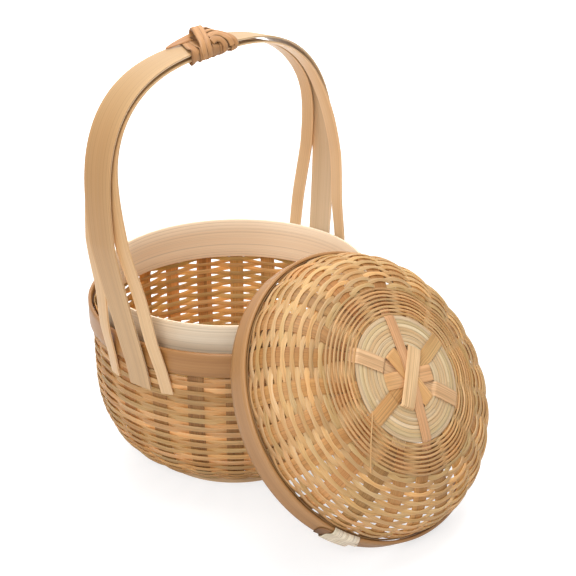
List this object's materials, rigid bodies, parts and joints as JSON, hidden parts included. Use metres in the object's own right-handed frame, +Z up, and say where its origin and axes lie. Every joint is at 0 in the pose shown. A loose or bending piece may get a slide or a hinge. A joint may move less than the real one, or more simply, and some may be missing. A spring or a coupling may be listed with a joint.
{
  "type": "picnic basket",
  "caption": "Round woven bamboo picnic basket with a rim collar, an arched strap handle tied with cane, and a domed lid leaning on its side.",
  "frame": {"origin": "middle of the outline's box, on the floor", "axes": "+Z up, X along the handle's span, the lid leans on the -Y side"},
  "size_m": [0.2588, 0.319, 0.3267],
  "materials": {
    "weave": "matt split bamboo",
    "stake": "matt split bamboo",
    "pale_hoop": "satin shaved bamboo",
    "tan_hoop": "satin shaved bamboo",
    "strap": "satin shaved bamboo",
    "cane": "satin split cane",
    "pale_cane": "matt split cane"
  },
  "bodies": {
    "basket": {"body_weave": "weave", "base_weave": "weave", "foot_ring": "pale_hoop", "rim_band": "tan_hoop", "collar": "pale_hoop", "handle_strap": "strap", "handle_side_strap_front": "strap", "handle_side_strap_rear": "strap", "knot_wrap_left": "cane", "knot_wrap_right": "cane", "knot_strand_under": "cane", "knot_strand_over": "cane", "knot_tail": "cane", "body_stake_1": "stake", "body_stake_2": "stake", "body_stake_3": "stake", "body_stake_4": "stake", "body_stake_5": "stake", "body_stake_6": "stake"},
    "lid": {"lid_weave": "weave", "lid_centre_weave": "weave", "lid_hoop": "tan_hoop", "lid_binding": "pale_cane", "lid_stake_1": "stake", "lid_stake_2": "stake", "lid_stake_3": "stake", "lid_stake_4": "stake", "lid_stake_5": "stake", "lid_stake_6": "stake"}
  },
  "joints": [
    {"name": "lid_lift", "type": "slide", "parent": "basket", "child": "lid", "axis": [0, 0, 1], "range_m": [0, 0.2]}
  ]
}
